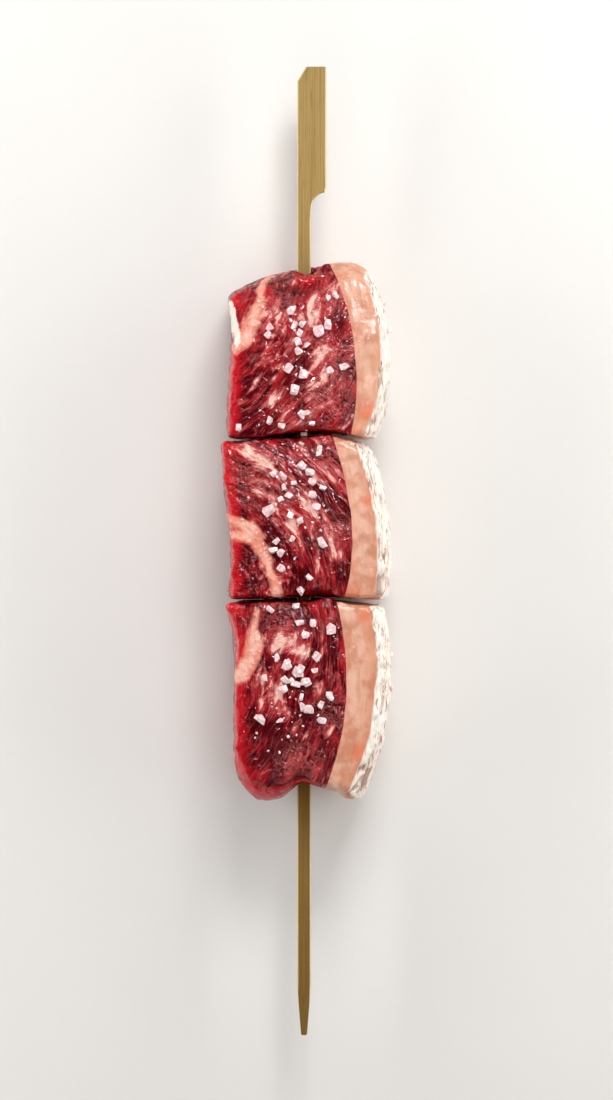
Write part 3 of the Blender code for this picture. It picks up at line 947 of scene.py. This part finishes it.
class KEBAB_OT_blocks(bpy.types.Operator):
    """Carves the three blocks of beef, each a lean piece and its fat cap"""

    bl_idname = "kebab.blocks"
    bl_label = "Beef blocks"

    def execute(self, context):
        look = context.scene.kebab_meat
        lean = lean_finish(look)
        fat = fat_finish(look)
        for number, cut in enumerate(CUTS, start=1):
            block = Block(number, cut)
            body = fused_mesh(block, look)
            rest = points_of(body) / MM
            facing = normals_of(body)
            out = block.relief(rest, facing)
            moved = rest + facing * out[:, None]
            moved[:, 1] += block.pull(rest)
            moved[:, 2] = np.maximum(moved[:, 2], 0)
            write_field(body, "rest", rest)
            write_field(body, "facing", facing)
            write_field(body, "relief", out)
            set_points(body, moved * MM)
            self.add_lean(block, parted(body, block, -1), lean)
            self.add_fat(block, parted(body, block, 1), fat)
        return {"FINISHED"}

    @staticmethod
    def add_lean(block, mesh, finish):
        rest = read_field(mesh, "rest")
        facing = read_field(mesh, "facing")
        grain = block.grain(rest)
        write_field(mesh, "grain", grain)
        write_field(mesh, "gristle", block.gristle(rest))
        write_field(mesh, "rim", block.rim(rest))
        write_field(mesh, "marbling", block.marbling(rest, grain))
        write_field(mesh, "blush", block.blush(rest, facing))
        write_field(mesh, "crinkled", block.patches(rest, block.cut.crinkles))
        piece = add_object(f"beef_lean_{block.number}", mesh, finish)
        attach(piece, BODY)
        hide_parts(block.lean.name)

    @staticmethod
    def add_fat(block, mesh, finish):
        rest = read_field(mesh, "rest")
        facing = read_field(mesh, "facing")
        band = rest.copy()
        band[:, 0] -= block.seam(rest)
        write_field(mesh, "grain", band)
        write_field(mesh, "skin", block.skin(rest, facing))
        write_field(mesh, "warm", block.patches(rest, block.cut.warm))
        piece = add_object(f"beef_fat_{block.number}", mesh, finish)
        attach(piece, BODY)
        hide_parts(block.fat.name)


class KEBAB_OT_skewer(bpy.types.Operator):
    """Gives the bamboo skewer its finish"""

    bl_idname = "kebab.skewer"
    bl_label = "Bamboo skewer"

    def execute(self, context):
        skewer = frame["nodes"]["bamboo_skewer"]
        finish = bamboo_finish(context.scene.kebab_bamboo)
        for slot in skewer.material_slots:
            slot.material = finish
        return {"FINISHED"}


DROP_HEIGHT = 20  # how far above the face a crystal's fall starts
SIDE_START = 1.6  # where across the crystals on the fat's side start from
CRUMB_ACROSS = (0.58, 0.16)  # the middle and the spread of the crumbs
CRUMB_ALONG = (0.5, 0.25)
CRUMB_LENGTHS = (0.5, 1.0)
CRYSTAL_SIZES = (0.85, 1.15)  # how far lengths vary in a cluster
CRYSTAL_WIDTHS = (0.62, 0.9)  # shares of a crystal's length
CRYSTAL_HEIGHTS = (0.45, 0.75)
CRYSTAL_TILT = 0.35  # in radians
CRYSTAL_PROUD = 0.75  # how far a crystal's middle is above the meat, as a share of half its height
CRYSTAL_CORNERS = (0.30, 1.0)  # how far out its corners lie
CRYSTAL_REACH = (0.95, 1.20)  # how far out its added points lie
CRYSTAL_GAP = 0.72  # the least distance between two crystals of a cluster, as a share of their length
CRYSTAL_POINTS = 5  # how many points are added to a crystal's eight corners
CRYSTAL_FLATNESS = 12  # faces that meet at less than this angle, in degrees, are joined
CRYSTAL_BEVEL = 0.03  # of its length


class KEBAB_OT_salt(bpy.types.Operator):
    """Scatters coarse salt over the blocks, as one joined mesh"""

    bl_idname = "kebab.salt"
    bl_label = "Coarse salt"

    def execute(self, context):
        settings = context.scene.kebab_salt
        draw = random.Random(settings.seed)
        ground = self.meat_surface()
        salt = bmesh.new()
        for number, cut in enumerate(CUTS, start=1):
            block = Block(number, cut)
            for across, along, spread, count, length in cut.salt:
                self.scatter(salt, ground, draw, block.place(across, along), spread, count, length)
            for _ in range(settings.crumbs):
                place = block.place(draw.gauss(*CRUMB_ACROSS), draw.gauss(*CRUMB_ALONG))
                self.scatter(salt, ground, draw, place, 0.1, 1, draw.uniform(*CRUMB_LENGTHS))
            for along, up, length in cut.side_salt:
                start = block.place(SIDE_START, along, up)
                self.drop(salt, ground, draw, start, (-1, 0, 0), length)
        mesh = bpy.data.meshes.new("salt")
        salt.to_mesh(mesh)
        salt.free()
        mesh.shade_flat()
        piece = add_object("salt_crystals", mesh, salt_finish(settings))
        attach(piece, BODY)
        return {"FINISHED"}

    @staticmethod
    def meat_surface():
        """Every beef piece as one surface that a crystal can land on."""
        shape = bmesh.new()
        for piece in bpy.data.objects:
            if piece.name.startswith("beef_"):
                shape.from_mesh(piece.data)
        surface = BVHTree.FromBMesh(shape)
        shape.free()
        return surface

    def scatter(self, salt, ground, draw, middle, spread, count, length):
        """Drops crystals round a place, none of them quite on top of another."""
        taken = []
        while len(taken) < count:
            spot = Vector((draw.gauss(0, spread), draw.gauss(0, spread)))
            size = length * draw.uniform(*CRYSTAL_SIZES)
            if taken and min((spot - other).length for other in taken) < CRYSTAL_GAP * length:
                spread *= 1.02
                continue
            taken.append(spot)
            start = (middle[0] + spot.x, middle[1] + spot.y, middle[2] + DROP_HEIGHT)
            self.drop(salt, ground, draw, start, (0, 0, -1), size)

    @staticmethod
    def drop(salt, ground, draw, start, way, length):
        """Lays one crystal where a ray from the start meets the meat."""
        hit, normal, _, _ = ground.ray_cast(Vector(start) * MM, Vector(way))
        if hit is None:
            return
        width = length * draw.uniform(*CRYSTAL_WIDTHS)
        height = length * draw.uniform(*CRYSTAL_HEIGHTS)
        half = Vector((length, width, height)) * MM / 2
        upright = normal.to_track_quat("Z", "Y").to_matrix().to_4x4()
        turn = Matrix.Rotation(draw.uniform(0, math.tau), 4, "Z")
        turn @= Matrix.Rotation(draw.gauss(0, CRYSTAL_TILT), 4, "X")
        move = Matrix.Translation(hit + normal * half.z * CRYSTAL_PROUD) @ upright @ turn
        crystal = bmesh.new()
        for corner in itertools.product((-1, 1), repeat=3):
            reach = [draw.uniform(*CRYSTAL_CORNERS) for _ in corner]
            crystal.verts.new([side * far * size for side, far, size in zip(corner, reach, half)])
        for _ in range(CRYSTAL_POINTS):
            way_out = Vector([draw.gauss(0, 1) for _ in range(3)]).normalized()
            point = way_out * draw.uniform(*CRYSTAL_REACH)
            crystal.verts.new([part * size for part, size in zip(point, half)])
        bmesh.ops.convex_hull(crystal, input=crystal.verts)
        loose = [vertex for vertex in crystal.verts if not vertex.link_faces]
        bmesh.ops.delete(crystal, geom=loose, context="VERTS")
        flat = math.radians(CRYSTAL_FLATNESS)
        bmesh.ops.dissolve_limit(crystal, angle_limit=flat, verts=crystal.verts, edges=crystal.edges)
        bmesh.ops.bevel(
            crystal,
            geom=crystal.edges,
            offset=length * CRYSTAL_BEVEL * MM,
            segments=1,
            affect="EDGES",
            clamp_overlap=True,
        )
        bmesh.ops.transform(crystal, matrix=move, verts=crystal.verts)
        mesh = bpy.data.meshes.new("crystal")
        crystal.to_mesh(mesh)
        crystal.free()
        salt.from_mesh(mesh)
        bpy.data.meshes.remove(mesh)


# Each light: its name, its place and size in metres, the setting that holds its power, and what is
# switched off for it: the shine that it would leave on wet surfaces, or all but that shine.
LIGHTS = (
    ("key light", (0.12, 0.62, 0.58), (0.34, 0.24), "key_power", "visible_glossy"),
    ("fill light", (-0.15, -0.60, 0.60), (0.60, 0.45), "fill_power", "visible_glossy"),
    ("glint light", (0.17, 0.34, 0.58), (0.10, 0.10), "glint_power", "visible_diffuse"),
    ("ceiling light", (0, 0, 2.2), (3.0, 3.0), "ceiling_power", "visible_glossy"),
    ("left light", (-0.42, 0.04, 0.20), (0.60, 0.14), "side_power", None),
    ("right light", (0.42, 0.04, 0.20), (0.60, 0.14), "side_power", None),
)
LIGHT_TARGET = (0, 0, 0.02)
CAMERA_SHIFT = (0.0002, 0.0003)  # how far the camera is to the right of the skewer's middle, and past it


class KEBAB_OT_stage(bpy.types.Operator):
    """Sets the pale floor, the soft lights and the camera above the kebab"""

    bl_idname = "kebab.stage"
    bl_label = "Stage"

    def execute(self, context):
        settings = context.scene.kebab_stage
        self.add_floor(settings)
        for name, place, size, power, unseen in LIGHTS:
            lamp = self.add_light(name, place, size, getattr(settings, power))
            if unseen:
                setattr(lamp, unseen, False)
        self.set_world(context.scene, settings)
        self.add_camera(context.scene, settings)
        return {"FINISHED"}

    @staticmethod
    def add_floor(settings):
        shape = bmesh.new()
        bmesh.ops.create_grid(shape, x_segments=8, y_segments=8, size=settings.floor_size / 2)
        mesh = bpy.data.meshes.new("floor")
        shape.to_mesh(mesh)
        shape.free()
        finish = Finish("floor")
        mottle = finish.noise(finish.place(), (60, 60, 60), detail=3)
        dim = [value * 0.97 for value in settings.floor_colour]
        finish.set(BaseColor=finish.blend(mottle, dim, settings.floor_colour), Roughness=0.85)
        add_object("floor", mesh, finish.material)

    @staticmethod
    def add_light(name, place, size, power):
        light = bpy.data.lights.new(name, "AREA")
        light.shape = "RECTANGLE"
        light.size, light.size_y = size
        light.energy = power
        lamp = bpy.data.objects.new(name, light)
        lamp.location = place
        aim = Vector(LIGHT_TARGET) - Vector(place)
        lamp.rotation_euler = aim.to_track_quat("-Z", "Y").to_euler()
        bpy.context.scene.collection.objects.link(lamp)
        return lamp

    @staticmethod
    def set_world(scene, settings):
        world = bpy.data.worlds.new("studio")
        world.use_nodes = True
        background = world.node_tree.nodes["Background"]
        background.inputs["Color"].default_value = (1, 1, 1, 1)
        background.inputs["Strength"].default_value = settings.sky
        scene.world = world
        scene.view_settings.view_transform = "Standard"

    @staticmethod
    def add_camera(scene, settings):
        low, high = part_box("bamboo_skewer")
        camera = bpy.data.cameras.new("camera")
        camera.lens = settings.lens
        camera.clip_start = 0.05
        away = settings.view_height * settings.lens / camera.sensor_width
        viewer = bpy.data.objects.new("camera", camera)
        across, along = CAMERA_SHIFT
        viewer.location = (across, (low.y + high.y) / 2 + along, (low.z + high.z) / 2 + away)
        scene.collection.objects.link(viewer)
        scene.camera = viewer


# --- the sidebar, and running it all -----------------------------------------------------------------


class KEBAB_PT_panel(bpy.types.Panel):
    """Lists the kebab's pieces and what can be changed about them"""

    bl_idname = "KEBAB_PT_panel"
    bl_label = "Raw Beef Kebab"
    bl_space_type = "VIEW_3D"
    bl_region_type = "UI"
    bl_category = "Kebab"

    def draw(self, context):
        for operator, group in STEPS:
            box = self.layout.box()
            box.operator(operator)
            settings = getattr(context.scene, group)
            for key in settings.__annotations__:
                box.prop(settings, key)


STEPS = (
    ("kebab.stage", "kebab_stage"),
    ("kebab.skewer", "kebab_bamboo"),
    ("kebab.blocks", "kebab_meat"),
    ("kebab.salt", "kebab_salt"),
)
GROUPS = {
    "kebab_stage": KebabStage,
    "kebab_bamboo": KebabBamboo,
    "kebab_meat": KebabMeat,
    "kebab_salt": KebabSalt,
}
CLASSES = (*GROUPS.values(), KEBAB_OT_stage, KEBAB_OT_skewer, KEBAB_OT_blocks, KEBAB_OT_salt, KEBAB_PT_panel)


def register():
    for cls in CLASSES:
        bpy.utils.register_class(cls)
    for name, group in GROUPS.items():
        setattr(bpy.types.Scene, name, PointerProperty(type=group))


def unregister():
    for name in GROUPS:
        delattr(bpy.types.Scene, name)
    for cls in reversed(CLASSES):
        bpy.utils.unregister_class(cls)


def main():
    register()
    bpy.ops.kebab.stage()
    bpy.ops.kebab.skewer()
    bpy.ops.kebab.blocks()
    bpy.ops.kebab.salt()


if __name__ == "__main__":
    main()
